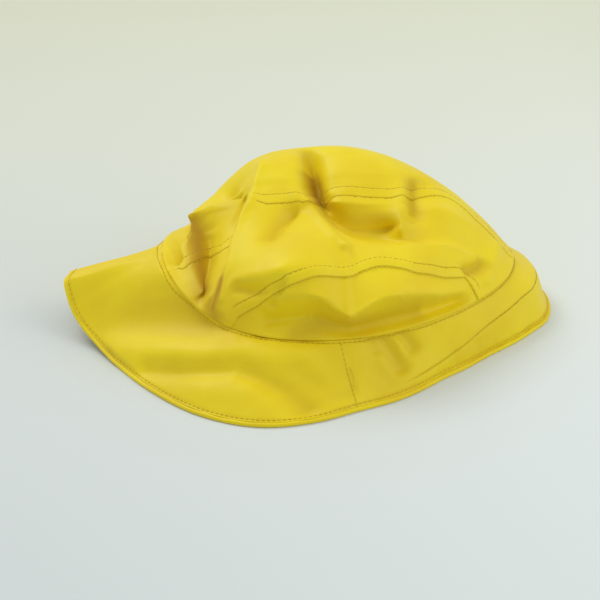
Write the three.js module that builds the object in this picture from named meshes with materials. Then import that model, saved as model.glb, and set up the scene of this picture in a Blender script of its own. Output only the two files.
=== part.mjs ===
import * as THREE from 'three';

// A waterproof sou'wester hat of coated cloth, slumped on a flat surface.
// Millimetres, +Z up from the surface, +X the front of the hat, +Y the wearer's left.
// The long brim at the back is the tail and points along -X.

// Head opening: the oval seam between crown and brim.
const HALF_LENGTH = 105;
const HALF_WIDTH = 75.5;
const EGG = 0.12;
const SEAM_FRONT = 36;
const SEAM_SIDE = 30;
const SEAM_BACK = 49;

// Crown and cloth.
const CROWN_TOP = 104;
const WALL = 1.5;
const GAP = 0.35;

// Hem: the turned and stitched edge of the brim.
const HEM_WIDTH = 3.0;
const HEM_HEIGHT = 2.6;

// Where the panels end, as angles from the front of the hat in degrees.
const GUSSET_FRONT = 37;
const GUSSET_BACK = 129;
const BRIM_JOIN = 92;

// Rays from this low point inside the hat meet the crown once each.
const CORE_HEIGHT = 0.08 * CROWN_TOP;
const CORE_RISE = CROWN_TOP - CORE_HEIGHT;

// Number of facets.
const CROWN_STEPS = 36;
const CROWN_RINGS = 14;
const BRIM_STEP = 4;
const ROUNDING = 5;

// Cells of the slump field along the half length, and how far it reaches past the seam.
const FIELD_CELLS = 60;
const FIELD_SPAN = 1.02;

// How full the crown is before it slumps: 1 is a straight cone side, 2 a round one.
// Columns: angle from the front, fullness.
const FULLNESS = [
  [0, 1.75],
  [30, 2.0],
  [60, 2.3],
  [90, 2.5],
  [120, 2.2],
  [150, 1.6],
  [180, 1.35],
];

// Upper edge of the side gusset.
// Columns: angle from the front, place between the crown's top (0) and the seam (1).
const GUSSET_EDGE = [
  [37, 0.865],
  [50, 0.82],
  [62, 0.74],
  [76, 0.68],
  [90, 0.715],
  [103, 0.712],
  [115, 0.79],
  [122, 0.85],
  [126, 0.91],
  [129, 1.0],
];

// Brim all round, the same on both sides.
// Columns: angle from the front, reach of the hem as a share of the half length,
// height of the hem as a share of the crown's top, place of the fold between the seam (0)
// and the hem (1), rise of the fold as a share of the half length.
const BRIM = [
  [0, 1.233, 0.0, 0.44, 0.048],
  [9, 1.205, 0.0, 0.46, 0.045],
  [17, 1.112, 0.0, 0.5, 0.042],
  [32, 0.968, 0.0, 0.62, 0.034],
  [45, 0.915, 0.0, 0.72, 0.025],
  [57, 0.897, 0.0, 0.8, 0.016],
  [76, 0.95, 0.0, 0.88, 0.004],
  [90, 1.005, 0.0, 0.88, 0.0],
  [103, 1.118, 0.0, 0.85, 0.0],
  [116, 1.225, 0.0, 0.8, 0.0],
  [130, 1.283, 0.0, 0.75, 0.0],
  [146, 1.313, 0.0, 0.7, 0.0],
  [157, 1.345, 0.0, 0.7, 0.0],
  [164, 1.385, 0.013, 0.7, 0.0],
  [169, 1.425, 0.038, 0.7, 0.0],
  [173.5, 1.485, 0.09, 0.7, 0.0],
  [176.5, 1.53, 0.16, 0.7, 0.0],
  [180, 1.562, 0.3, 0.7, 0.0],
];

// Folds of the slumped crown. Each is a line in space that the cloth is drawn over,
// and the cloth hangs smoothly from one to the next.
// Points: share of the half length, share of the half width, share of the crown's top.
const FOLDS = [
  {
    name: 'far shoulder',
    line: [[-0.67, 0.56, 0.61], [-0.49, 0.59, 0.8], [-0.32, 0.53, 0.9], [-0.13, 0.48, 0.93],
      [0.09, 0.45, 0.92], [0.31, 0.43, 0.86], [0.54, 0.32, 0.75], [0.73, 0.11, 0.62]],
  },
  { name: 'pinch', line: [[-0.84, 0.19, 0.62], [-0.69, 0.29, 0.62], [-0.51, 0.29, 0.64]] },
  {
    name: 'back ridge',
    line: [[-0.41, 0.32, 0.9], [-0.48, 0.03, 0.84], [-0.54, -0.16, 0.79], [-0.6, -0.37, 0.71],
      [-0.65, -0.59, 0.62], [-0.7, -0.73, 0.47], [-0.67, -0.8, 0.37]],
  },
  { name: 'cave floor', line: [[-0.75, 0.05, 0.43], [-0.6, 0.0, 0.55]] },
  {
    name: 'back ledge',
    line: [[-0.85, 0.13, 0.51], [-0.9, -0.11, 0.51], [-0.87, -0.4, 0.47], [-0.8, -0.61, 0.41]],
  },
  { name: 'back foot', line: [[-0.83, 0.27, 0.5], [-0.78, 0.45, 0.45]] },
  {
    name: 'back pit',
    line: [[-0.79, 0.27, 0.54], [-0.77, 0.16, 0.47], [-0.75, 0.0, 0.41], [-0.74, -0.24, 0.37],
      [-0.73, -0.49, 0.35]],
  },
  { name: 'gash back lip', line: [[-0.21, 0.37, 0.91], [-0.23, 0.11, 0.86], [-0.23, -0.12, 0.8]] },
  { name: 'gash', line: [[-0.16, 0.45, 0.89], [-0.14, 0.25, 0.78], [-0.09, 0.03, 0.7]] },
  { name: 'gash front lip', line: [[-0.05, 0.41, 0.9], [-0.04, 0.12, 0.85], [-0.03, -0.04, 0.77]] },
  {
    name: 'middle ridge',
    line: [[-0.18, -0.15, 0.79], [-0.02, -0.53, 0.7], [0.0, -0.8, 0.58], [-0.02, -1.05, 0.45]],
  },
  { name: 'middle crease', line: [[-0.24, -0.12, 0.74], [-0.4, -0.45, 0.7]] },
  {
    name: 'pocket top',
    line: [[-0.05, -0.07, 0.76], [0.31, -0.07, 0.74], [0.56, -0.07, 0.73], [0.71, -0.08, 0.62]],
  },
  {
    name: 'pocket floor',
    line: [[-0.04, -0.16, 0.65], [0.05, -0.29, 0.61], [0.3, -0.29, 0.59], [0.55, -0.27, 0.59],
      [0.76, -0.27, 0.49]],
  },
  { name: 'side shelf', line: [[0.12, -0.75, 0.61], [0.29, -0.72, 0.59], [0.6, -0.6, 0.45]] },
  { name: 'front rib', line: [[0.38, 0.12, 0.83], [0.36, -0.08, 0.77], [0.31, -0.36, 0.69]] },
  { name: 'rib hollow', line: [[0.43, 0.16, 0.8], [0.43, 0.01, 0.73], [0.4, -0.16, 0.66]] },
  { name: 'side shoulder', line: [[-0.54, -0.77, 0.65], [-0.33, -0.83, 0.7], [-0.15, -0.84, 0.67]] },
  {
    name: 'belly back',
    line: [[-0.48, -0.88, 0.54], [-0.26, -0.97, 0.54], [-0.11, -1.03, 0.5], [-0.02, -1.05, 0.45]],
  },
  {
    name: 'belly front',
    line: [[-0.02, -1.05, 0.45], [0.23, -0.99, 0.52], [0.5, -0.81, 0.45], [0.66, -0.64, 0.4]],
  },
  {
    name: 'under belly',
    line: [[-0.46, -0.83, 0.38], [-0.22, -0.91, 0.35], [-0.01, -0.93, 0.32], [0.28, -0.83, 0.33],
      [0.6, -0.61, 0.33]],
  },
];

const DEG = Math.PI / 180;

function turned(angle) {
  const a = ((angle % 360) + 360) % 360;
  return a > 180 ? 360 - a : a;
}

// Smooth reading of one column of a table whose first column is the angle.
function read(table, column, angle) {
  const a = turned(angle);
  const last = table.length - 1;
  let i = 0;
  while (i < last - 1 && table[i + 1][0] <= a) i += 1;
  const [x1, x2] = [table[i][0], table[i + 1][0]];
  const [y1, y2] = [table[i][column], table[i + 1][column]];
  const t = Math.min(Math.max((a - x1) / (x2 - x1), 0), 1);
  const slopeAt = (k) => {
    if (k === 0 || k === last) return 0;
    return (table[k + 1][column] - table[k - 1][column]) / (table[k + 1][0] - table[k - 1][0]);
  };
  const m1 = slopeAt(i) * (x2 - x1);
  const m2 = slopeAt(i + 1) * (x2 - x1);
  const t2 = t * t;
  const t3 = t2 * t;
  return (2 * t3 - 3 * t2 + 1) * y1 + (t3 - 2 * t2 + t) * m1 + (3 * t2 - 2 * t3) * y2 + (t3 - t2) * m2;
}

function smoothStep(t) {
  const c = Math.min(Math.max(t, 0), 1);
  return c * c * (3 - 2 * c);
}

// The seam as shares of the half length, the half width and the rise over the core.
// The angle is measured in the oval squashed to a circle.
function seamShare(angle) {
  const c = Math.cos(angle * DEG);
  const s = Math.sin(angle * DEG);
  const reach = 1 / Math.hypot(c, s / (1 - EGG * c));
  const plan = Math.atan2(HALF_WIDTH * reach * s, HALF_LENGTH * reach * c);
  const cosine = Math.abs(Math.cos(plan));
  const front = Math.cos(plan) > 0;
  const end = front ? SEAM_FRONT : SEAM_BACK;
  const height = SEAM_SIDE + (end - SEAM_SIDE) * cosine ** (front ? 2.2 : 7);
  return [reach * c, reach * s, (height - CORE_HEIGHT) / CORE_RISE];
}

function seamPoint(angle) {
  const [x, y, z] = seamShare(angle);
  return new THREE.Vector3(HALF_LENGTH * x, HALF_WIDTH * y, CORE_HEIGHT + CORE_RISE * z);
}

// Angle above the horizontal of the ray from the core to the seam, in degrees.
function seamElevation(angle) {
  const [x, y, z] = seamShare(angle);
  return Math.atan2(z, Math.hypot(x, y)) / DEG;
}

function seamRay(angle) {
  return Math.hypot(...seamShare(angle));
}

// Length of a ray to the full crown, before it slumps.
function fullRay(angle, elevation) {
  const n = read(FULLNESS, 1, angle);
  const c = Math.abs(Math.cos(elevation * DEG));
  const s = Math.max(Math.sin(elevation * DEG), 0);
  return (c ** n + s ** n) ** (-1 / n);
}

// A point in shares as angle, elevation, ray and place between the top (0) and seam (1).
function polar(x, y, z) {
  const angle = Math.atan2(y, x) / DEG;
  const elevation = Math.atan2(z, Math.hypot(x, y)) / DEG;
  const place = (90 - elevation) / (90 - seamElevation(angle));
  return { angle, elevation, ray: Math.hypot(x, y, z), place };
}

// The slump: how much longer or shorter each ray is than on the full crown. It is fixed
// at the seam and along the folds and relaxed in between, like a stretched skin.
function relaxSlump() {
  const half = Math.round(FIELD_CELLS);
  const size = 2 * half + 1;
  const span = FIELD_SPAN;
  const value = new Float64Array(size * size);
  const held = new Uint8Array(size * size);
  const isRim = (i, j) => Math.hypot(i - half, j - half) * span >= half;
  for (let i = 0; i < size; i += 1) {
    for (let j = 0; j < size; j += 1) {
      if (!isRim(i, j)) continue;
      const angle = Math.atan2(j - half, i - half) / DEG;
      value[i * size + j] = seamRay(angle) - fullRay(angle, seamElevation(angle));
      held[i * size + j] = 1;
    }
  }
  const sum = new Float64Array(size * size);
  const count = new Uint16Array(size * size);
  for (const fold of FOLDS) {
    const points = fold.line.map(([x, y, up]) => [x, y, (up * CROWN_TOP - CORE_HEIGHT) / CORE_RISE]);
    for (let k = 0; k + 1 < points.length; k += 1) {
      for (let step = 0; step <= 48; step += 1) {
        const [x, y, z] = points[k].map((p, axis) => p + (points[k + 1][axis] - p) * (step / 48));
        const at = polar(x, y, z);
        if (at.place > 0.98) continue;
        const i = Math.round(half + (at.place * Math.cos(at.angle * DEG) * half) / span);
        const j = Math.round(half + (at.place * Math.sin(at.angle * DEG) * half) / span);
        sum[i * size + j] += at.ray - fullRay(at.angle, at.elevation);
        count[i * size + j] += 1;
      }
    }
  }
  for (let k = 0; k < value.length; k += 1) {
    if (!count[k]) continue;
    value[k] = sum[k] / count[k];
    held[k] = 1;
  }
  for (let round = 0; round < 500; round += 1) {
    const pull = round < 420 ? 1.88 : 1;
    for (let i = 1; i < size - 1; i += 1) {
      for (let j = 1; j < size - 1; j += 1) {
        const k = i * size + j;
        if (held[k]) continue;
        const mean = (value[k - 1] + value[k + 1] + value[k - size] + value[k + size]) / 4;
        value[k] += pull * (mean - value[k]);
      }
    }
  }
  for (let round = 0; round < ROUNDING; round += 1) {
    const sharp = value.slice();
    for (let i = 1; i < size - 1; i += 1) {
      for (let j = 1; j < size - 1; j += 1) {
        const k = i * size + j;
        const mean = (sharp[k - 1] + sharp[k + 1] + sharp[k - size] + sharp[k + size]) / 4;
        if (!isRim(i, j)) value[k] = (sharp[k] + mean) / 2;
      }
    }
  }
  return (u, v) => {
    const x = half + (u / span) * half;
    const y = half + (v / span) * half;
    const i = Math.min(Math.max(Math.floor(x), 0), size - 2);
    const j = Math.min(Math.max(Math.floor(y), 0), size - 2);
    const [fx, fy] = [x - i, y - j];
    const near = value[i * size + j] * (1 - fx) + value[(i + 1) * size + j] * fx;
    const far = value[i * size + j + 1] * (1 - fx) + value[(i + 1) * size + j + 1] * fx;
    return near * (1 - fy) + far * fy;
  };
}

const slump = relaxSlump();

function crownPoint(angle, place) {
  const edge = seamElevation(angle);
  const elevation = 90 - place * (90 - edge);
  const loose = slump(place * Math.cos(angle * DEG), place * Math.sin(angle * DEG));
  const sewn = smoothStep((place - 0.97) / 0.03);
  const ray = (fullRay(angle, elevation) + loose) * (1 - sewn) + seamRay(angle) * sewn;
  const flat = ray * Math.cos(elevation * DEG);
  return new THREE.Vector3(
    HALF_LENGTH * flat * Math.cos(angle * DEG),
    HALF_WIDTH * flat * Math.sin(angle * DEG),
    CORE_HEIGHT + CORE_RISE * ray * Math.sin(elevation * DEG),
  );
}

// Inner side of the cloth: the same ray, shortened so that the wall keeps its thickness.
function crownInner(angle, place, outer) {
  const near = Math.max(place, 0.04);
  const a = crownPoint(angle + 0.8 / near, near).sub(crownPoint(angle - 0.8 / near, near));
  const b = crownPoint(angle, Math.min(near + 0.01, 1)).sub(crownPoint(angle, near - 0.01));
  const normal = a.cross(b).normalize();
  const ray = outer.clone().sub(new THREE.Vector3(0, 0, CORE_HEIGHT)).normalize();
  const facing = Math.max(Math.abs(normal.dot(ray)), 0.62);
  return outer.clone().addScaledVector(ray, -WALL / facing);
}

// A sheet is a list of points, each with an outer and an inner side, and its triangles.
// Closing it adds the inner side and a wall along every open edge.
function closedSheet(points, triangles) {
  const count = points.length;
  const edges = new Map();
  const faces = [];
  for (const [a, b, c] of triangles) {
    faces.push(a, b, c, a + count, c + count, b + count);
    for (const [p, q] of [[a, b], [b, c], [c, a]]) edges.set(`${p},${q}`, [p, q]);
  }
  for (const [p, q] of edges.values()) {
    if (edges.has(`${q},${p}`)) continue;
    faces.push(q, p, p + count, q, p + count, q + count);
  }
  const positions = [];
  for (const side of ['outer', 'inner']) {
    for (const point of points) positions.push(point[side].x, point[side].y, point[side].z);
  }
  const geometry = new THREE.BufferGeometry();
  geometry.setAttribute('position', new THREE.Float32BufferAttribute(positions, 3));
  geometry.setIndex(faces);
  geometry.computeVertexNormals();
  return geometry;
}

// Two triangles of a four-cornered patch, split along its shorter diagonal.
// The corners run anticlockwise seen from outside, or clockwise when mirrored.
function patch(points, a, b, c, d, mirrored) {
  const ac = points[a].outer.distanceTo(points[c].outer);
  const bd = points[b].outer.distanceTo(points[d].outer);
  const pair = ac < bd ? [[a, b, c], [a, c, d]] : [[a, b, d], [b, c, d]];
  return mirrored ? pair.map(([p, q, r]) => [p, r, q]) : pair;
}

// Angles and places are spread in degrees and shares, and this is one gap in each.
const GAP_ANGLE = GAP / HALF_WIDTH / DEG;
const GAP_PLACE = GAP / HALF_LENGTH;

// One half of the crown, from the centre seam to the gusset and the brim.
// side is -1 for the wearer's right and +1 for the wearer's left.
function crownPanel(side) {
  const frontCut = GUSSET_FRONT - GAP_ANGLE / 2;
  const backCut = GUSSET_FRONT + GAP_ANGLE / 2;
  const angles = [];
  for (let k = 0; k <= CROWN_STEPS; k += 1) angles.push((180 * k) / CROWN_STEPS);
  const kept = angles.filter((a) => Math.abs(a - GUSSET_FRONT) > 2.4 && Math.abs(a - GUSSET_BACK) > 2.4);
  kept.push(frontCut, backCut, GUSSET_BACK - 3, GUSSET_BACK - 0.6, GUSSET_BACK);
  kept.sort((a, b) => a - b);
  const cornerPlace = read(GUSSET_EDGE, 1, GUSSET_FRONT);
  const lowerEdge = (a) => {
    if (a <= frontCut) return cornerPlace;
    return a < GUSSET_BACK ? read(GUSSET_EDGE, 1, a) - GAP_PLACE / 2 : 1;
  };
  const points = [];
  const add = (a, place) => {
    const outer = crownPoint(side * a, place);
    const inner = crownInner(side * a, place, outer);
    if (a === 0 || a === 180 || place === 0) {
      outer.y = (side * GAP) / 2;
      inner.y = (side * GAP) / 2;
    }
    points.push({ outer, inner });
    return points.length - 1;
  };
  const triangles = [];
  const top = add(90, 0);
  const columns = kept.map((a) => {
    const column = [top];
    for (let k = 1; k <= CROWN_RINGS; k += 1) column.push(add(a, (lowerEdge(a) * k) / CROWN_RINGS));
    if (a <= frontCut) {
      for (const t of [0.35, 0.7, 1]) column.push(add(a, cornerPlace + (1 - cornerPlace) * t));
    }
    return column;
  });
  for (let i = 0; i + 1 < columns.length; i += 1) {
    const [p, q] = [columns[i], columns[i + 1]];
    const tip = side > 0 ? [top, p[1], q[1]] : [top, q[1], p[1]];
    triangles.push(tip);
    const rows = Math.min(p.length, q.length);
    for (let k = 1; k + 1 < rows; k += 1) {
      triangles.push(...patch(points, p[k], p[k + 1], q[k + 1], q[k], side < 0));
    }
  }
  return closedSheet(points, triangles);
}

// The side gusset under the crown panel: pointed at the back, blunt in front.
function sideGusset(side) {
  const stations = [GUSSET_FRONT + GAP_ANGLE / 2];
  const step = 180 / CROWN_STEPS;
  for (let a = step * Math.ceil((GUSSET_FRONT + 2.4) / step); a < GUSSET_BACK - 4; a += step) {
    stations.push(a);
  }
  stations.push(GUSSET_BACK - 3, GUSSET_BACK - 0.6);
  const rings = 4;
  const points = [];
  const triangles = [];
  const columns = stations.map((a) => {
    const upper = read(GUSSET_EDGE, 1, a) + GAP_PLACE / 2;
    const column = [];
    for (let k = 0; k <= rings; k += 1) {
      const place = upper + ((1 - upper) * k) / rings;
      const outer = crownPoint(side * a, place);
      points.push({ outer, inner: crownInner(side * a, place, outer) });
      column.push(points.length - 1);
    }
    return column;
  });
  for (let i = 0; i + 1 < columns.length; i += 1) {
    const [p, q] = [columns[i], columns[i + 1]];
    for (let k = 0; k < rings; k += 1) {
      triangles.push(...patch(points, p[k], p[k + 1], q[k + 1], q[k], side < 0));
    }
  }
  return closedSheet(points, triangles);
}

// Outward direction in plan for the brim at an angle of the squashed oval.
function planAngle(angle) {
  const seam = seamPoint(angle);
  return Math.atan2(seam.y, seam.x) / DEG;
}

function hemPoint(angle) {
  const plan = planAngle(angle);
  const reach = HALF_LENGTH * read(BRIM, 1, plan);
  const height = Math.max(CROWN_TOP * read(BRIM, 2, plan), 0);
  return new THREE.Vector3(reach * Math.cos(plan * DEG), reach * Math.sin(plan * DEG), height);
}

function outward(angle) {
  const plan = planAngle(angle) * DEG;
  return new THREE.Vector3(Math.cos(plan), Math.sin(plan), 0);
}

// Upper side of the brim in one vertical cut: seam, fold and inner edge of the hem.
function brimCut(angle) {
  const out = outward(angle);
  const plan = planAngle(angle);
  const start = seamPoint(angle);
  const end = hemPoint(angle).addScaledVector(out, -HEM_WIDTH - GAP);
  end.z += HEM_HEIGHT;
  const along = end.clone().sub(start).normalize();
  start.addScaledVector(along, GAP);
  const up = new THREE.Vector3().crossVectors(out, new THREE.Vector3(0, 0, 1)).cross(along).negate();
  if (up.z < 0) up.negate();
  up.normalize();
  const fold = start.clone().lerp(end, read(BRIM, 3, plan));
  fold.addScaledVector(up, HALF_LENGTH * Math.max(read(BRIM, 4, plan), 0));
  return { start, fold, end, up };
}

function brimPiece(from, to) {
  const angles = [from];
  for (let a = Math.ceil((from + 1.5) / BRIM_STEP) * BRIM_STEP; a < to - 1.5; a += BRIM_STEP) {
    angles.push(a);
  }
  angles.push(to);
  const points = [];
  const triangles = [];
  const columns = angles.map((angle) => {
    const { start, fold, end, up } = brimCut(angle);
    const column = [];
    for (const [a, b, t] of [
      [start, fold, 0], [start, fold, 0.33], [start, fold, 0.67],
      [fold, end, 0], [fold, end, 0.5], [fold, end, 1],
    ]) {
      const outer = a.clone().lerp(b, t);
      points.push({ outer, inner: outer.clone().addScaledVector(up, -WALL) });
      column.push(points.length - 1);
    }
    return column;
  });
  for (let i = 0; i + 1 < columns.length; i += 1) {
    const [p, q] = [columns[i], columns[i + 1]];
    for (let k = 0; k + 1 < p.length; k += 1) {
      triangles.push(...patch(points, p[k], p[k + 1], q[k + 1], q[k], false));
    }
  }
  return closedSheet(points, triangles);
}

// The hem is one closed band with a flat underside that rests on the surface.
function hemBand() {
  const profile = [
    [-HEM_WIDTH, 0],
    [-0.2 * HEM_WIDTH, 0],
    [0, 0.35 * HEM_HEIGHT],
    [-0.1 * HEM_WIDTH, 0.8 * HEM_HEIGHT],
    [-0.45 * HEM_WIDTH, HEM_HEIGHT],
    [-HEM_WIDTH, HEM_HEIGHT],
  ];
  const positions = [];
  const faces = [];
  const sides = profile.length;
  const turns = 360 / BRIM_STEP;
  for (let i = 0; i < turns; i += 1) {
    const angle = i * BRIM_STEP;
    const hem = hemPoint(angle);
    const out = outward(angle);
    for (const [reach, up] of profile) {
      const point = hem.clone().addScaledVector(out, reach);
      positions.push(point.x, point.y, point.z + up);
    }
  }
  for (let i = 0; i < turns; i += 1) {
    const next = (i + 1) % turns;
    for (let k = 0; k < sides; k += 1) {
      const l = (k + 1) % sides;
      const [a, b, c, d] = [i * sides + k, next * sides + k, next * sides + l, i * sides + l];
      faces.push(a, b, c, a, c, d);
    }
  }
  const geometry = new THREE.BufferGeometry();
  geometry.setAttribute('position', new THREE.Float32BufferAttribute(positions, 3));
  geometry.setIndex(faces);
  geometry.computeVertexNormals();
  return geometry;
}

// Coated rain cloth, soft sheen, one colour with slightly different pieces.
function cloth(color) {
  return new THREE.MeshStandardMaterial({ color, roughness: 0.5, metalness: 0 });
}

const crownCloth = cloth(0xe2cb3c);
const gussetCloth = cloth(0xd6bc2e);
const brimCloth = cloth(0xd4ba2a);
const hemCloth = cloth(0xd9c132);

const hat = new THREE.Group();

function place(name, geometry, material) {
  const mesh = new THREE.Mesh(geometry, material);
  mesh.name = name;
  hat.add(mesh);
  return mesh;
}

const joinGap = GAP_ANGLE / 2;
place('crown_panel_right', crownPanel(-1), crownCloth);
place('crown_panel_left', crownPanel(1), crownCloth);
place('side_gusset_right', sideGusset(-1), gussetCloth);
place('side_gusset_left', sideGusset(1), gussetCloth);
place('brim_front', brimPiece(-BRIM_JOIN + joinGap, BRIM_JOIN - joinGap), brimCloth);
place('brim_back', brimPiece(BRIM_JOIN + joinGap, 360 - BRIM_JOIN - joinGap), brimCloth);
place('brim_hem', hemBand(), hemCloth);

// The origin is under the middle of the hat, on the surface.
const box = new THREE.Box3().setFromObject(hat);
const middle = box.getCenter(new THREE.Vector3());
for (const mesh of hat.children) mesh.position.set(-middle.x, -middle.y, -box.min.z);

export default hat;
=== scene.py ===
from functools import partial
import bpy
import numpy as np
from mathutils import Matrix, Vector


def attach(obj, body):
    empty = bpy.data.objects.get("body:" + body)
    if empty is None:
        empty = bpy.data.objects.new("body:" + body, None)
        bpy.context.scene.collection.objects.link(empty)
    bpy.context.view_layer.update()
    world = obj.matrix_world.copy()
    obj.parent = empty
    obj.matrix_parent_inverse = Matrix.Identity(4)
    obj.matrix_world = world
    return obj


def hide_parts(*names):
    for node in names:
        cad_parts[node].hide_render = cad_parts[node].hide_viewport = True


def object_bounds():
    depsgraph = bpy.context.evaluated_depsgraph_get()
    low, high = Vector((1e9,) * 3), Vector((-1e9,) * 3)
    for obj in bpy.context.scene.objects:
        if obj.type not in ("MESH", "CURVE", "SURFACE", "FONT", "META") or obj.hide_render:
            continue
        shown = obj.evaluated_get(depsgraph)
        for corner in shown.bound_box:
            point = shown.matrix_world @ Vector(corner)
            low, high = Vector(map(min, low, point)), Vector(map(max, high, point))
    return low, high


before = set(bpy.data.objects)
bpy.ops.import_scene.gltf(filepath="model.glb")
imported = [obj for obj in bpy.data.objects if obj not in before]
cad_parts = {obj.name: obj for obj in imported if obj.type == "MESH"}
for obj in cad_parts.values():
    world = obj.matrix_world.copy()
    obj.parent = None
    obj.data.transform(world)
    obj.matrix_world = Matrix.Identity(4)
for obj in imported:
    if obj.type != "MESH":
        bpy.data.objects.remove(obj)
cad_low, cad_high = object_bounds()


# Camera: it looks at the hat's right side, a little towards the front, from well above.
# The lens is long, so that the near and far sides of the brim keep their proportions.
AZIMUTH = np.radians(-5)
ELEVATION = np.radians(32)
AIM = Vector((-0.00538, 0.00617, 0.00668))
DISTANCE = 1.3
SENSOR = 36
PIXELS_PER_METRE = 1650
IMAGE_WIDTH = 600

level = np.cos(ELEVATION)
back = Vector((np.sin(AZIMUTH) * level, -np.cos(AZIMUTH) * level, np.sin(ELEVATION)))
camera_data = bpy.data.cameras.new("camera")
camera_data.sensor_width = SENSOR
camera_data.lens = SENSOR * PIXELS_PER_METRE * DISTANCE / IMAGE_WIDTH
camera = bpy.data.objects.new("camera", camera_data)
camera.location = AIM + back * DISTANCE
camera.rotation_euler = back.to_track_quat("Z", "Y").to_euler()
bpy.context.scene.collection.objects.link(camera)
bpy.context.scene.camera = camera


# Crown panels: two halves of coated cotton, sewn together along the middle of the hat with a
# lapped seam. The cloth has no stiffener, so the crown has slumped: it is caved in at the back,
# gashed near the top and pushed out in a point over the right side of the brim.
HALF_LENGTH = 0.105
HALF_WIDTH = 0.0755
EGG = 0.12
SEAM_FRONT = 0.036
SEAM_SIDE = 0.030
SEAM_BACK = 0.049
CROWN_TOP = 0.104
CORE_HEIGHT = 0.08 * CROWN_TOP
CORE_RISE = CROWN_TOP - CORE_HEIGHT
FRONT_REACH = 1.233
SEAM_CENTRE = cad_high.x - FRONT_REACH * HALF_LENGTH
CLOTH = 0.0012

# How full the crown is before it slumps: 1 is a straight cone side, 2 a round one.
# Columns: angle from the front, fullness.
FULLNESS = np.array([(0, 1.75), (30, 2.0), (60, 2.3), (90, 2.5), (120, 2.2), (150, 1.6), (180, 1.35)])

# Folds of the slumped crown: name, softness in millimetres, and points along the fold as
# shares of the half length, the half width and the crown's top.
FOLDS = [
    ("far shoulder", 3, [(-0.67, 0.56, 0.61), (-0.49, 0.59, 0.8), (-0.32, 0.53, 0.9), (-0.13, 0.48, 0.93),
        (0.09, 0.45, 0.92), (0.31, 0.43, 0.86), (0.54, 0.32, 0.75), (0.73, 0.11, 0.62)]),
    ("pinch", 1, [(-0.84, 0.19, 0.62), (-0.69, 0.29, 0.62), (-0.51, 0.29, 0.64)]),
    ("back ridge", 1, [(-0.41, 0.32, 0.9), (-0.48, 0.03, 0.84), (-0.54, -0.16, 0.79), (-0.6, -0.37, 0.71),
        (-0.65, -0.59, 0.62), (-0.7, -0.73, 0.47), (-0.67, -0.8, 0.37)]),
    ("cave floor", 2.5, [(-0.75, 0.05, 0.43), (-0.6, 0.0, 0.55)]),
    ("back ledge", 2, [(-0.85, 0.13, 0.51), (-0.9, -0.11, 0.51), (-0.87, -0.4, 0.47), (-0.8, -0.61, 0.41)]),
    ("back foot", 3, [(-0.83, 0.27, 0.5), (-0.78, 0.45, 0.45)]),
    ("back pit", 1.5, [(-0.79, 0.27, 0.54), (-0.77, 0.16, 0.47), (-0.75, 0.0, 0.41), (-0.74, -0.24, 0.37),
        (-0.73, -0.49, 0.35)]),
    ("gash back lip", 1.5, [(-0.21, 0.37, 0.91), (-0.23, 0.11, 0.86), (-0.23, -0.12, 0.8)]),
    ("gash", 1, [(-0.16, 0.45, 0.89), (-0.14, 0.25, 0.78), (-0.09, 0.03, 0.7)]),
    ("gash front lip", 1.5, [(-0.05, 0.41, 0.9), (-0.04, 0.12, 0.85), (-0.03, -0.04, 0.77)]),
    ("middle ridge", 2, [(-0.18, -0.15, 0.79), (-0.02, -0.53, 0.7), (0.0, -0.8, 0.58),
        (-0.02, -1.05, 0.45)]),
    ("middle crease", 2, [(-0.24, -0.12, 0.74), (-0.4, -0.45, 0.7)]),
    ("pocket top", 3.5, [(-0.05, -0.07, 0.76), (0.31, -0.07, 0.74), (0.56, -0.07, 0.73),
        (0.71, -0.08, 0.62)]),
    ("pocket floor", 3, [(-0.04, -0.16, 0.65), (0.05, -0.29, 0.61), (0.3, -0.29, 0.59), (0.55, -0.27, 0.59),
        (0.76, -0.27, 0.49)]),
    ("side shelf", 3, [(0.12, -0.75, 0.61), (0.29, -0.72, 0.59), (0.6, -0.6, 0.45)]),
    ("front rib", 1.5, [(0.38, 0.12, 0.83), (0.36, -0.08, 0.77), (0.31, -0.36, 0.69)]),
    ("rib hollow", 1.5, [(0.43, 0.16, 0.8), (0.43, 0.01, 0.73), (0.4, -0.16, 0.66)]),
    ("side shoulder", 3, [(-0.54, -0.77, 0.65), (-0.33, -0.83, 0.7), (-0.15, -0.84, 0.67)]),
    ("belly back", 1.5, [(-0.48, -0.88, 0.54), (-0.26, -0.97, 0.54), (-0.11, -1.03, 0.5),
        (-0.02, -1.05, 0.45)]),
    ("belly front", 1.5, [(-0.02, -1.05, 0.45), (0.23, -0.99, 0.52), (0.5, -0.81, 0.45),
        (0.66, -0.64, 0.4)]),
    ("under belly", 2, [(-0.46, -0.83, 0.38), (-0.22, -0.91, 0.35), (-0.01, -0.93, 0.32),
        (0.28, -0.83, 0.33), (0.6, -0.61, 0.33)]),
]

FIELD_CELLS = 240
FIELD_SPAN = 1.02
FIELD_CELL = 2 * FIELD_SPAN / FIELD_CELLS
# Near the disk's rim, which is at 1: where folds end, where the crown turns to the seam and over
# how much, and over how much the draped shift and the relief die away.
FOLDS_END = 0.98
SEWN_FROM = 0.97
SEWN_OVER = 0.03
DRAPE_FADE = 0.02
RELIEF_FADE = 0.05
# How near to a fold its softness counts most, in places of the disk.
FOLD_NEAR = 0.015
# One unit of place, from the top of the crown to the seam, is about this many millimetres.
PLACE_MILLIMETRES = 110

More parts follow.
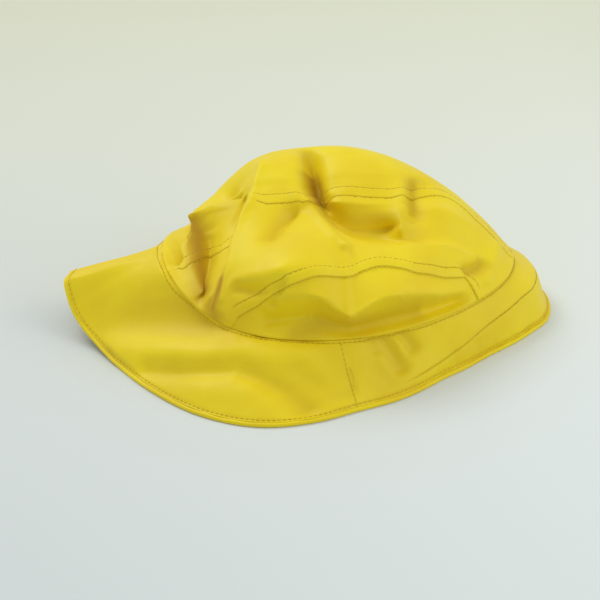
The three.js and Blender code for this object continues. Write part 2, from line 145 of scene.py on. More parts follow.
# Folds that the cloth is draped over, which may hang over their neighbours: name, and for
# each point its place in the disk, forwards and to the left, and then its shares of the half
# length, the half width and the crown's top.
DRAPED = [
    ("ridge", [(-0.32, 0.31, -0.42, 0.32, 0.91), (-0.43, 0.06, -0.48, 0.07, 0.82),
        (-0.475, -0.05, -0.52, -0.07, 0.78), (-0.5, -0.12, -0.56, -0.13, 0.74),
        (-0.52, -0.2, -0.58, -0.21, 0.7), (-0.545, -0.3, -0.62, -0.32, 0.66),
        (-0.575, -0.44, -0.65, -0.5, 0.6), (-0.595, -0.54, -0.67, -0.61, 0.53),
        (-0.615, -0.62, -0.69, -0.68, 0.46), (-0.635, -0.7, -0.7, -0.73, 0.39)]),
    ("ledge", [(-0.81, 0.13, -0.83, 0.16, 0.59), (-0.86, -0.08, -0.86, -0.05, 0.53),
        (-0.865, -0.19, -0.86, -0.17, 0.5), (-0.86, -0.25, -0.85, -0.23, 0.49),
        (-0.84, -0.4, -0.82, -0.41, 0.45), (-0.8, -0.52, -0.78, -0.54, 0.42)]),
    ("back valley", [(-0.78, 0.15, -0.815, 0.19, 0.6), (-0.76, 0.02, -0.76, 0.11, 0.55),
        (-0.75, -0.13, -0.73, 0.03, 0.5), (-0.74, -0.28, -0.73, -0.09, 0.45),
        (-0.74, -0.39, -0.745, -0.23, 0.43), (-0.75, -0.49, -0.77, -0.38, 0.42),
        (-0.765, -0.56, -0.78, -0.49, 0.4)]),
    ("behind the ridge", [(-0.5, 0.04, -0.51, 0.19, 0.72), (-0.54, -0.07, -0.54, 0.08, 0.66),
        (-0.57, -0.18, -0.57, -0.05, 0.61), (-0.6, -0.31, -0.61, -0.24, 0.59),
        (-0.61, -0.42, -0.64, -0.42, 0.56)]),
    ("foot valley", [(-0.625, -0.46, -0.67, -0.45, 0.56), (-0.64, -0.55, -0.69, -0.56, 0.51),
        (-0.66, -0.62, -0.71, -0.62, 0.46), (-0.68, -0.67, -0.74, -0.67, 0.42),
        (-0.695, -0.7, -0.75, -0.71, 0.38)]),
    ("back facet", [(-0.67, -0.22, -0.68, -0.21, 0.55), (-0.68, -0.36, -0.7, -0.37, 0.51),
        (-0.695, -0.5, -0.73, -0.53, 0.47), (-0.715, -0.6, -0.76, -0.64, 0.43)]),
    ("wedge", [(-0.8, 0.19, -0.84, 0.18, 0.62), (-0.71, 0.2, -0.75, 0.24, 0.655),
        (-0.61, 0.17, -0.63, 0.25, 0.675), (-0.52, 0.12, -0.53, 0.23, 0.7)]),
    ("wedge's top", [(-0.8, 0.19, -0.84, 0.18, 0.62), (-0.69, 0.34, -0.76, 0.37, 0.62),
        (-0.575, 0.48, -0.67, 0.56, 0.61)]),
    ("under the wedge", [(-0.73, 0.1, -0.74, 0.19, 0.62), (-0.63, 0.07, -0.63, 0.17, 0.65)]),
    ("gash", [(-0.1, 0.36, -0.13, 0.48, 0.86), (-0.105, 0.26, -0.115, 0.4, 0.8),
        (-0.11, 0.14, -0.1, 0.27, 0.74), (-0.11, 0.02, -0.1, 0.16, 0.7),
        (-0.09, -0.12, -0.06, 0.05, 0.65)]),
    ("gash back lip", [(-0.17, 0.33, -0.2, 0.34, 0.91), (-0.18, 0.22, -0.2, 0.21, 0.86),
        (-0.18, 0.1, -0.2, 0.08, 0.81), (-0.18, -0.06, -0.18, -0.11, 0.79)]),
    ("gash front lip", [(-0.05, 0.36, -0.05, 0.41, 0.9), (-0.06, 0.22, -0.07, 0.27, 0.85),
        (-0.06, 0.1, -0.08, 0.13, 0.8), (-0.04, 0.0, -0.05, -0.01, 0.78)]),
    ("pocket brow", [(-0.04, -0.05, -0.05, -0.08, 0.78), (0.15, -0.07, 0.12, -0.11, 0.77),
        (0.31, -0.07, 0.3, -0.11, 0.76)]),
    ("pocket", [(-0.09, -0.17, -0.07, -0.026, 0.665), (-0.03, -0.24, -0.018, -0.159, 0.633),
        (0.05, -0.275, 0.059, -0.185, 0.621), (0.14, -0.275, 0.136, -0.199, 0.622),
        (0.22, -0.265, 0.216, -0.185, 0.619), (0.285, -0.27, 0.284, -0.172, 0.623)]),
    ("roll", [(0.0, -0.5, 0.02, -0.5, 0.67), (0.25, -0.42, 0.3, -0.45, 0.64),
        (0.48, -0.38, 0.56, -0.4, 0.61), (0.7, -0.36, 0.76, -0.32, 0.48)]),
    ("rib", [(0.34, 0.13, 0.37, 0.16, 0.8), (0.34, -0.03, 0.345, -0.08, 0.77),
        (0.33, -0.18, 0.32, -0.24, 0.73), (0.32, -0.32, 0.3, -0.37, 0.69)]),
    ("rib hollow", [(0.39, 0.13, 0.43, 0.2, 0.77), (0.39, 0.0, 0.42, 0.05, 0.71),
        (0.4, -0.16, 0.41, -0.12, 0.67)]),
    ("belly's edge", [(-0.2, -0.85, -0.185, -0.98, 0.555), (-0.1, -0.87, -0.105, -1.01, 0.49),
        (-0.02, -0.885, -0.02, -1.045, 0.45), (0.06, -0.87, 0.05, -1.02, 0.48),
        (0.15, -0.845, 0.14, -0.97, 0.52), (0.28, -0.82, 0.26, -0.93, 0.52),
        (0.45, -0.77, 0.44, -0.83, 0.47)]),
    ("under the belly", [(-0.2, -0.93, -0.18, -0.9, 0.38), (-0.02, -0.945, -0.01, -0.93, 0.34),
        (0.2, -0.92, 0.19, -0.86, 0.35), (0.4, -0.86, 0.39, -0.78, 0.355)]),
]
DRAPE_REACH = 16
DRAPE_SOFTNESS = 1.0

# Small creases that the cloth keeps from being folded away: name, height and half width in
# millimetres (a valley is negative), and points in the disk.
CREASES = [
    ("ridge's crest", 1.0, 2.5, [(-0.32, 0.31), (-0.43, 0.06), (-0.5, -0.12), (-0.545, -0.3),
        (-0.595, -0.54), (-0.635, -0.7)]),
    ("mountain", 3.0, 3.2, [(-0.18, -0.1), (-0.14, -0.21), (-0.1, -0.35), (-0.06, -0.45), (-0.02, -0.52)]),
    ("over the point", 2.0, 3, [(-0.02, -0.52), (-0.01, -0.63), (-0.01, -0.73), (-0.02, -0.88)]),
    ("belly's lip", 1.1, 2, [(-0.2, -0.85), (-0.1, -0.87), (-0.02, -0.885), (0.06, -0.87), (0.15, -0.845),
        (0.28, -0.82)]),
    ("front rib", 1.2, 3, [(0.33, 0.12), (0.334, 0.0), (0.33, -0.14), (0.315, -0.29)]),
    ("beside the rib", -1.8, 3, [(0.46, 0.17), (0.4, 0.15), (0.39, 0.0), (0.396, -0.11), (0.385, -0.2)]),
    ("front dent", -4.5, 5, [(0.68, -0.5), (0.72, -0.46), (0.78, -0.38)]),
    ("front diagonal", 2.0, 4, [(0.88, -0.1), (0.834, -0.32), (0.79, -0.5)]),
    ("foot of the ridge", -1.2, 2, [(-0.63, -0.67), (-0.65, -0.76)]),
    ("slanting dent", -2.6, 4, [(-0.375, -0.37), (-0.35, -0.28), (-0.32, -0.22), (-0.285, -0.15)]),
    ("side lip", -3.4, 3, [(-0.52, -0.63), (-0.45, -0.68), (-0.38, -0.7), (-0.31, -0.7)]),
    ("over the side lip", 1.6, 4, [(-0.53, -0.59), (-0.44, -0.61), (-0.38, -0.64), (-0.3, -0.64)]),
    ("side tuck", -2.4, 2.5, [(-0.38, -0.76), (-0.36, -0.74), (-0.33, -0.73)]),
    ("side crease", -2.2, 2.5, [(-0.44, -0.83), (-0.26, -0.87)]),
    ("back crease", -0.8, 2, [(-0.78, 0.22), (-0.72, 0.2)]),
]

# Deep folds, painted with shade as a browner yellow: name, depth of the painted shade from 0 to 1, half width
# in millimetres, and points in the disk.
SHADED_FOLDS = [
    ("back valley", 1.0, 6.5, [(-0.8, 0.12), (-0.81, -0.1), (-0.81, -0.25), (-0.79, -0.42),
        (-0.77, -0.53)]),
    ("foot valley", 1.0, 3.5, [(-0.635, -0.54), (-0.66, -0.62), (-0.69, -0.68)]),
    ("foot", 0.7, 7, [(-0.72, -0.64), (-0.7, -0.7)]),
    ("gash", 1.0, 4.5, [(-0.14, 0.2), (-0.13, 0.1), (-0.125, -0.04)]),
    ("top of the gash", 0.4, 4, [(-0.13, 0.35), (-0.14, 0.27)]),
    ("pocket", 0.32, 8, [(-0.07, -0.11), (0.1, -0.2), (0.28, -0.2)]),
    ("floor of the pocket", 0.32, 7, [(-0.09, -0.18), (-0.03, -0.26), (0.1, -0.28), (0.28, -0.27)]),
    ("rib hollow", 0.45, 3.5, [(0.4, 0.15), (0.39, 0.0), (0.396, -0.11)]),
    ("slanting dent", 0.22, 5, [(-0.375, -0.37), (-0.35, -0.28), (-0.285, -0.15)]),
    ("under the wedge", 0.18, 6, [(-0.72, 0.12), (-0.6, 0.08)]),
    ("under the belly", 0.35, 5, [(-0.3, -0.93), (-0.02, -0.95), (0.2, -0.92), (0.4, -0.86)]),
    ("front dent", 0.45, 5, [(0.69, -0.5), (0.73, -0.46), (0.78, -0.38)]),
]

# The middle seam: the right panel's edge runs along this line of the disk, from the back over
# the cave and the ridge to the front. Columns: forwards, to the left.
MIDDLE_EDGE = np.array([
    (-1.0, -0.2), (-0.93, -0.19), (-0.865, -0.17), (-0.8, -0.175), (-0.75, -0.18), (-0.68, -0.2),
    (-0.61, -0.2), (-0.57, -0.17), (-0.52, -0.06), (-0.47, 0.03), (-0.43, 0.03), (-0.39, 0.01),
    (-0.2, 0.02), (-0.03, 0.055), (0.17, 0.045), (0.34, 0.06), (0.4, 0.1), (0.6, 0.2), (0.8, 0.1), (1, 0)])

# The gusset's upper seam. Columns: angle from the front, place of the panel's edge.
GUSSET_FRONT = 40.5
GUSSET_BACK = 129
GUSSET_SEAM = np.array([
    (37, 0.875), (50, 0.83), (56, 0.787), (62, 0.756), (68, 0.713), (77, 0.677), (85, 0.693), (90, 0.718),
    (102, 0.727), (107, 0.753), (115, 0.805), (120, 0.865), (126, 0.94), (129, 1.0)])

# Lapped seams: the upper panel's edge lies on the lower panel, and two rows of stitches hold
# it, one beside the edge and one at the far side of the folded allowance.
SEAM_STEP = 0.0005
FIRST_ROW = 0.0006
SECOND_ROW = 0.0069
ROW_MIDDLE = (FIRST_ROW + SECOND_ROW) / 2
ROW_REACH = (SECOND_ROW - FIRST_ROW) / 2
# The middle seam is pinched shut under the ridge, where its rows are swallowed by the fold:
# forward place in the disk, and how far that reaches on either side.
PINCH_AT = -0.505
PINCH_REACH = 0.07
# The upper groove of the gusset's seam hardly shows round this forward place of the disk.
GROOVE_GONE_AT = 0.07
GROOVE_GONE_REACH = 0.27

# Relief of a lapped seam, in metres: rise of the band, depth and half width of the groove along
# a row, and height, reach and wave of the puckers.
WELT_RISE = 0.00035
GROOVE_DEPTH = 0.00022
GROOVE_WIDTH = 0.0008
PUCKER_HEIGHT = 0.00016
PUCKER_REACH = 0.0035
PUCKER_WAVE = 0.012
# How far the left panel reaches under the right one, in places of the disk, and in metres, how
# far from its edge it has come up from under it, and over how much.
UNDERLAP = 0.012
STEP_ENDS = 0.012
STEP_OVER = 0.006
# Distance from a row of stitches, in metres, of cloth that has none near it.
NO_ROW = 0.05
NORMAL_STEP = 0.004
LEAST_SINE = 0.35


def turned(angle):
    """The angle from the front in degrees, 0 to 180 on either side."""
    return np.abs((np.asarray(angle, float) + 180) % 360 - 180)


def smooth_step(t):
    """3 t^2 - 2 t^3, held at 0 below 0 and at 1 above 1."""
    t = np.clip(t, 0, 1)
    return t * t * (3 - 2 * t)


def bump(distance, width):
    """1 at no distance, falling off as the exponential of minus its square over the width."""
    return np.exp(-((distance / width) ** 2))


def unit(vector):
    """Vectors of length 1 in the same directions."""
    return vector / np.maximum(np.linalg.norm(vector, axis=-1, keepdims=True), 1e-12)


def polar(x, y):
    """Length of a plane vector, and its angle in degrees."""
    return np.hypot(x, y), np.degrees(np.arctan2(y, x))


def plane_vector(length, angle):
    """The two parts of a plane vector with this length and angle in degrees."""
    return length * np.cos(np.radians(angle)), length * np.sin(np.radians(angle))


def read(table, column, at):
    """A table's column at places of its first column: cubic pieces whose slopes are those
    between the row before and the row after, and flat at the first and last row."""
    x = table[:, 0]
    y = table[:, column]
    slope = np.zeros(len(x))
    slope[1:-1] = (y[2:] - y[:-2]) / (x[2:] - x[:-2])
    i = np.clip(np.searchsorted(x, at, side="right") - 1, 0, len(x) - 2)
    step = x[i + 1] - x[i]
    t = np.clip((at - x[i]) / step, 0, 1)
    start = (2 * t**3 - 3 * t**2 + 1) * y[i] + (t**3 - 2 * t**2 + t) * slope[i] * step
    return start + (3 * t**2 - 2 * t**3) * y[i + 1] + (t**3 - t**2) * slope[i + 1] * step


def seam_share(angle):
    """The oval seam in shares of the half length, the half width and the rise over the core:
    a circle that is narrower in front, rising from the sides to both ends."""
    c = np.cos(np.radians(angle))
    s = np.sin(np.radians(angle))
    reach = 1 / np.hypot(c, s / (1 - EGG * c))
    plan = np.arctan2(HALF_WIDTH * reach * s, HALF_LENGTH * reach * c)
    front = np.cos(plan) > 0
    end = np.where(front, SEAM_FRONT, SEAM_BACK)
    height = SEAM_SIDE + (end - SEAM_SIDE) * np.abs(np.cos(plan)) ** np.where(front, 2.2, 7)
    return np.stack([reach * c, reach * s, (height - CORE_HEIGHT) / CORE_RISE], -1)


def from_share(share):
    """Shares of the half length, half width and rise as a point in metres."""
    scale = np.array([HALF_LENGTH, HALF_WIDTH, CORE_RISE])
    return share * scale + np.array([SEAM_CENTRE, 0, CORE_HEIGHT])


def elevation_of(vector):
    """Angle of a vector above the horizontal, in degrees."""
    return np.degrees(np.arctan2(vector[..., 2], np.hypot(vector[..., 0], vector[..., 1])))


def seam_elevation(angle):
    """Angle above the horizontal, in degrees, of the ray from the core to the seam."""
    return elevation_of(seam_share(angle))


def full_ray(angle, elevation):
    """Length of a ray to the crown before it slumps: the superellipse of the angle's fullness."""
    n = read(FULLNESS, 1, turned(angle))
    c = np.abs(np.cos(np.radians(elevation)))
    s = np.maximum(np.sin(np.radians(elevation)), 0)
    return (c**n + s**n) ** (-1 / n)


def blurred(field, millimetres):
    """The field under a bell-shaped mean of the given radius, along one axis after the other."""
    cells = millimetres / PLACE_MILLIMETRES / FIELD_CELL
    reach = int(np.ceil(2.5 * cells))
    offsets = np.arange(-reach, reach + 1)
    weights = np.exp(-0.5 * (offsets / cells) ** 2)
    weights /= weights.sum()
    for axis in (0, 1):
        padded = np.pad(field, [(reach, reach) if a == axis else (0, 0) for a in (0, 1)], mode="edge")
        count = field.shape[axis]
        parts = [w * np.take(padded, np.arange(k, k + count), axis) for k, w in enumerate(weights)]
        field = np.sum(parts, 0)
    return field


def disk_grid():
    """A square grid that holds the disk: its axis, and the places of its points."""
    axis = np.linspace(-FIELD_SPAN, FIELD_SPAN, FIELD_CELLS + 1)
    return axis, *np.meshgrid(axis, axis, indexing="ij")


def grid_index(u, v):
    """Row and column of the grid point nearest to each place of the disk."""
    return tuple(np.round((place + FIELD_SPAN) / FIELD_CELL).astype(int) for place in (u, v))


def dense(points):
    """A line through points, with sixty steps from each to the next."""
    number = np.arange(len(points))
    steps = np.linspace(0, number[-1], 60 * number[-1] + 1)
    return np.stack([np.interp(steps, number, column) for column in points.T], -1)


def above_core(share):
    """Shares of half length, half width and crown's top, the last as one of the core's rise."""
    return share * [1, 1, CROWN_TOP / CORE_RISE] - [0, 0, CORE_HEIGHT / CORE_RISE]


def relaxed(value, free, kept, pull, sweeps, settling):
    """The field after its free points moved, sweep by sweep, pull times the way to kept times
    the mean of their four neighbours, and once the way in the settling sweeps."""
    checker = np.indices(free.shape).sum(0) % 2 == 0
    for sweep in range(sweeps + settling):
        move = pull if sweep < sweeps else 1.0
        for half in (free & checker, free & ~checker):
            mean = np.roll(value, 1, 0) + np.roll(value, -1, 0)
            mean = kept * (mean + np.roll(value, 1, 1) + np.roll(value, -1, 1)) / 4
            value[half] += move * (mean[half] - value[half])
    return value


def relaxed_slump():
    """How much longer or shorter each ray is than on the full crown, on a square grid that
    holds the crown seen from its top. It is fixed at the seam and along the folds and relaxed
    in between, like a stretched skin, and then rounded by each fold's own softness."""
    axis, u, v = disk_grid()
    place, angle = polar(u, v)
    held = place >= 1
    rim = np.linalg.norm(seam_share(angle), axis=-1) - full_ray(angle, seam_elevation(angle))
    value = np.where(held, rim, 0.0)
    total = np.zeros_like(value)
    count = np.zeros_like(value)
    nearness = np.full_like(value, 1e-9)
    softness = np.full_like(value, 2e-9)
    for name, soft, points in FOLDS:
        line = dense(above_core(np.array(points)))
        line_angle = polar(line[:, 0], line[:, 1])[1]
        elevation = elevation_of(line)
        line_place = (90 - elevation) / (90 - seam_elevation(line_angle))
        inside = line_place < FOLDS_END
        line_u, line_v = (part[inside] for part in plane_vector(line_place, line_angle))
        index = grid_index(line_u, line_v)
        np.add.at(total, index, (np.linalg.norm(line, axis=1) - full_ray(line_angle, elevation))[inside])
        np.add.at(count, index, 1)
        distance = np.full_like(value, 9.0)
        for k in range(0, len(line_u), 6):
            distance = np.minimum(distance, np.hypot(u - line_u[k], v - line_v[k]))
        weight = 1 / (distance**2 + FOLD_NEAR**2) ** 2
        nearness += weight
        softness += weight * soft
    softness /= nearness
    value = np.where(count > 0, total / np.maximum(count, 1), value)
    value = relaxed(value, ~(held | (count > 0)), kept=1, pull=1.95, sweeps=700, settling=60)
    levels = np.array([1.0, 2.0, 4.0])
    soft_fields = np.array([blurred(value, level) for level in levels])
    level = np.clip(np.log2(np.maximum(softness, 1)), 0, len(levels) - 1.001)
    below = level.astype(int)
    share = level - below
    near = np.take_along_axis(soft_fields, below[None], 0)[0]
    far = np.take_along_axis(soft_fields, below[None] + 1, 0)[0]
    rounded = near * (1 - share) + far * share
    return np.where(held, value, rounded)


slump = relaxed_slump()


def at_disk(field, u, v):
    """The field at places of the disk, linear between its four nearest grid points."""
    x = np.clip((u + FIELD_SPAN) / FIELD_CELL, 0, FIELD_CELLS - 0.001)
    y = np.clip((v + FIELD_SPAN) / FIELD_CELL, 0, FIELD_CELLS - 0.001)
    i = x.astype(int)
    j = y.astype(int)
    near = field[i, j] * (1 - (x - i)) + field[i + 1, j] * (x - i)
    far = field[i, j + 1] * (1 - (x - i)) + field[i + 1, j + 1] * (x - i)
    return near * (1 - (y - j)) + far * (y - j)


def bell(points, half_width, x, y):
    """1 on a line through the points of a chart, falling off on both sides and past its ends
    as the exponential of minus the squared distance over the half width."""
    nearest = np.full_like(x, 9e9)
    for (x0, y0), (x1, y1) in zip(points[:-1], points[1:]):
        length2 = (x1 - x0) ** 2 + (y1 - y0) ** 2
        t = np.clip(((x - x0) * (x1 - x0) + (y - y0) * (y1 - y0)) / length2, 0, 1)
        nearest = np.minimum(nearest, np.hypot(x - x0 - t * (x1 - x0), y - y0 - t * (y1 - y0)))
    return bump(nearest, half_width)


def uneven(x, y, wave, seed):
    """Gentle unevenness, mostly between -1 and 1: twelve sine waves in random directions
    whose lengths lie round the given one."""
    draw = np.random.default_rng(seed)
    total = np.zeros_like(x)
    for k in range(12):
        heading = draw.uniform(0, np.pi)
        turns = 2 * np.pi / (wave * draw.uniform(0.6, 1.6))
        start = draw.uniform(0, 2 * np.pi)
        total += np.sin(turns * (x * np.cos(heading) + y * np.sin(heading)) + start)
    return total / 4


def slumped_point(u, v):
    """The slumped crown at places of the disk. A place is a direction from the core: its angle
    round the hat, and its elevation from straight up down to the seam. The ray is the full
    crown's plus the slump, led to the seam's own ray over the last of the way."""
    place, angle = polar(u, v)
    elevation = 90 - place * (90 - seam_elevation(angle))
    sewn = smooth_step((place - SEWN_FROM) / SEWN_OVER)
    seam_ray = np.linalg.norm(seam_share(angle), axis=-1)
    ray = (full_ray(angle, elevation) + at_disk(slump, u, v)) * (1 - sewn) + seam_ray * sewn
    flat, up = plane_vector(ray, elevation)
    return from_share(np.stack([*plane_vector(flat, angle), up], -1))


def draped_shift():
    """How far the cloth is carried from the slumped crown so that it passes through every
    draped fold: three fields on the same grid, held at the seam and along the folds. In
    between each cell is the mean of its neighbours, lessened so that the shift dies away
    over DRAPE_REACH, and the lines are then rounded by DRAPE_SOFTNESS."""
    axis, u, v = disk_grid()
    total = np.zeros((*u.shape, 3))
    count = np.zeros(u.shape)
    for name, points in DRAPED:
        line = dense(np.array(points))
        i, j = grid_index(line[:, 0], line[:, 1])
        np.add.at(total, (i, j), from_share(above_core(line[:, 2:])) - slumped_point(axis[i], axis[j]))
        np.add.at(count, (i, j), 1)
    free = ~((np.hypot(u, v) >= 1) | (count > 0))
    cell = FIELD_CELL * PLACE_MILLIMETRES / DRAPE_REACH
    value = total / np.maximum(count, 1)[..., None]
    value = relaxed(value, free, kept=1 / (1 + cell * cell / 4), pull=1.8, sweeps=220, settling=40)
    return [blurred(value[..., k], DRAPE_SOFTNESS) for k in range(3)]


shift = draped_shift()


def crown_point(u, v):
    """The crown at places of the disk: slumped, carried over the draped folds, and with
    creases and a slight unevenness in the direction away from the core."""
    from_rim = 1 - np.hypot(u, v)
    carried = np.stack([at_disk(part, u, v) for part in shift], -1)
    base = slumped_point(u, v) + carried * smooth_step(from_rim / DRAPE_FADE)[..., None]
    relief = 0.00012 * uneven(u, v, 0.3, 3)
    for name, height, half_width, points in CREASES:
        relief += height / 1000 * bell(points, half_width / PLACE_MILLIMETRES, u, v)
    outward = unit(base - np.array([SEAM_CENTRE, 0, CORE_HEIGHT]))
    return base + outward * (relief * smooth_step(from_rim / RELIEF_FADE))[..., None]


def facing(surface, u, v, step):
    """Unit normals of a surface: the cross product of its steps along both parameters."""
    along = surface(u + step, v) - surface(u - step, v)
    across = surface(u, v + step) - surface(u, v - step)
    return unit(np.cross(along, across))


def from_edge(points, seen=12):
    """How far each point of a grid lies from the grid's first row: the length along its
    column times the sine of the angle between column and row, both read over a few steps."""
    step = np.linalg.norm(np.diff(points, axis=1), axis=2)
    length = np.concatenate([np.zeros((len(points), 1)), np.cumsum(step, 1)], 1)
    i = np.arange(len(points))
    row = points[np.minimum(i + seen, len(points) - 1), 0] - points[np.maximum(i - seen, 0), 0]
    sine = np.linalg.norm(np.cross(unit(points[:, seen] - points[:, 0]), unit(row)), axis=1)
    return length * np.maximum(sine, LEAST_SINE)[:, None]


def row_pair(distance):
    """Signed distance to the nearer of a lapped seam's two rows of stitches: below 0 between."""
    return np.abs(distance - ROW_MIDDLE) - ROW_REACH


def welt(distance, along, seed):
    """Relief of a lapped seam in metres at a distance from its edge: a slightly raised band
    between the two rows, drawn in along each row, with small puckers across them."""
    band = smooth_step(distance / FIRST_ROW) * smooth_step((SECOND_ROW + 0.002 - distance) / 0.003)
    drawn = GROOVE_DEPTH * bump(row_pair(distance), GROOVE_WIDTH)
    pucker = uneven(along, along * 0 + seed, PUCKER_WAVE, seed) * bump(row_pair(distance), PUCKER_REACH)
    return WELT_RISE * band - drawn + PUCKER_HEIGHT * pucker


def row_at(points, normals, distance, wanted):
    """The line across a grid's columns at the wanted distance from the edge, with normals."""
    past = np.clip(np.argmax(distance > wanted, axis=1), 1, None)
    i = np.arange(len(points))
    near = distance[i, past - 1]
    t = ((wanted - near) / np.maximum(distance[i, past] - near, 1e-9))[:, None]
    line = points[i, past - 1] * (1 - t) + points[i, past] * t
    return line, normals[i, past]


def fold_shading(u, v):
    """How much shade is painted at each place of the disk for lying deep in a fold, from 0 to 1: the greatest
    of the bells along the shaded folds."""
    shades = [depth * bell(points, half_width / PLACE_MILLIMETRES, u, v)
              for name, depth, half_width, points in SHADED_FOLDS]
    return np.max(shades, 0)


def smooth_mesh(name, points, faces, **attributes):
    """A smooth mesh that keeps a value of each point under each attribute's name."""
    mesh = bpy.data.meshes.new(name)
    mesh.from_pydata(points.tolist(), [], faces)
    mesh.polygons.foreach_set("use_smooth", np.ones(len(faces), bool))
    for key, value in attributes.items():
        mesh.attributes.new(key, "FLOAT", "POINT").data.foreach_set("value", value.astype(np.float32))
    mesh.update()
    return mesh


def cloth_mesh(name, outer, normal, row, fold_shade):
    """A closed piece of cloth from a grid of points and normals: the outer side, an inner side set back by
    the cloth's thickness, and a wall along the four edges. The mesh keeps two attributes: stitch_row, the
    distance in millimetres to the nearest row of stitches or, on the brim's front, to its crease, along both
    of which the cloth is darkened; and deep_fold, the painted shade of cloth that lies deep in a fold."""
    rows, columns = outer.shape[:2]
    inner = outer - normal * CLOTH
    index = np.arange(rows * columns).reshape(rows, columns)
    quads = np.stack([index[:-1, :-1], index[1:, :-1], index[1:, 1:], index[:-1, 1:]], -1).reshape(-1, 4)
    corner = outer.reshape(-1, 3)[quads]
    turn = np.cross(corner[:, 2] - corner[:, 0], corner[:, 3] - corner[:, 1])
    if (turn * normal.reshape(-1, 3)[quads[:, 0]]).sum() < 0:
        quads = quads[:, ::-1]
        index = index[::-1]
    rim = np.concatenate([index[:, 0], index[-1, 1:], index[-2::-1, -1], index[0, -2:0:-1]])
    following = np.roll(rim, -1)
    under = rows * columns
    wall = np.stack([following, rim, rim + under, following + under], -1)
    faces = np.concatenate([quads, quads[:, ::-1] + under, wall])
    points = np.concatenate([outer.reshape(-1, 3), inner.reshape(-1, 3)])
    return smooth_mesh(name, points, faces.tolist(), stitch_row=np.tile(row.ravel() * 1000, 2),
                       deep_fold=np.tile(fold_shade.ravel(), 2))


def gusset_line():
    """The line between crown panel and gusset on the right half of the disk, from the back
    of the hat to the front: along the rim, the gusset's upper edge, its front end, the rim."""
    along = np.linspace(GUSSET_BACK, GUSSET_FRONT, 200)
    place = np.minimum(read(GUSSET_SEAM, 1, along), 1)
    angle = np.concatenate([np.linspace(179.9, GUSSET_BACK + 0.1, 120), along,
                            np.full(12, GUSSET_FRONT), np.linspace(GUSSET_FRONT - 0.1, 0.1, 80)])
    place = np.concatenate([np.ones(120), place, np.linspace(place[-1], 1, 12), np.ones(80)])
    return plane_vector(place, angle)


LINE_U, LINE_V = gusset_line()


def chords(u, inner, outer, rows):
    """Places on a chord across the disk at each forward place, from an inner to an outer one."""
    v = inner[:, None] + (outer - inner)[:, None] * np.linspace(0, 1, rows)
    return np.broadcast_to(u[:, None], v.shape), v


def panel_places(side, steps, rows):
    """Places of one crown panel: chords across the half disk, from the middle seam out to
    the gusset or the brim. The left panel reaches a little under the right one."""
    start = 0.02
    u = -np.cos(np.linspace(start, np.pi - start, steps))
    rim = np.sqrt(1 - u * u)
    middle = np.clip(read(MIDDLE_EDGE, 1, u) - (UNDERLAP if side > 0 else 0), -0.97 * rim, 0.97 * rim)
    return chords(u, middle, side * np.minimum(np.interp(u, LINE_U, LINE_V), rim), rows)


def linear(code):
    """An sRGB hex colour as linear red, green, blue and alpha."""
    value = np.array([int(code[k : k + 2], 16) for k in (1, 3, 5)]) / 255
    value = np.where(value <= 0.04045, value / 12.92, ((value + 0.055) / 1.055) ** 2.4)
    return (*value.tolist(), 1.0)


def add_node(material, kind, settings=(), links=()):
    """A new shader node: settings are attributes, or inputs where they are named or numbered,
    and links join its inputs to other nodes' outputs."""
    new = material.node_tree.nodes.new("ShaderNode" + kind)
    for key, value in dict(settings).items():
        if isinstance(key, str) and hasattr(new, key):
            setattr(new, key, value)
        else:
            new.inputs[key].default_value = value
    for key, output in dict(links).items():
        material.node_tree.links.new(output, new.inputs[key])
    return new


def plain_material(name, settings):
    """A new material whose shader has the given settings, and that shader."""
    material = bpy.data.materials.new(name)
    material.use_nodes = True
    shader = material.node_tree.nodes["Principled BSDF"]
    for key, value in settings.items():
        shader.inputs[key].default_value = value
    return material, shader


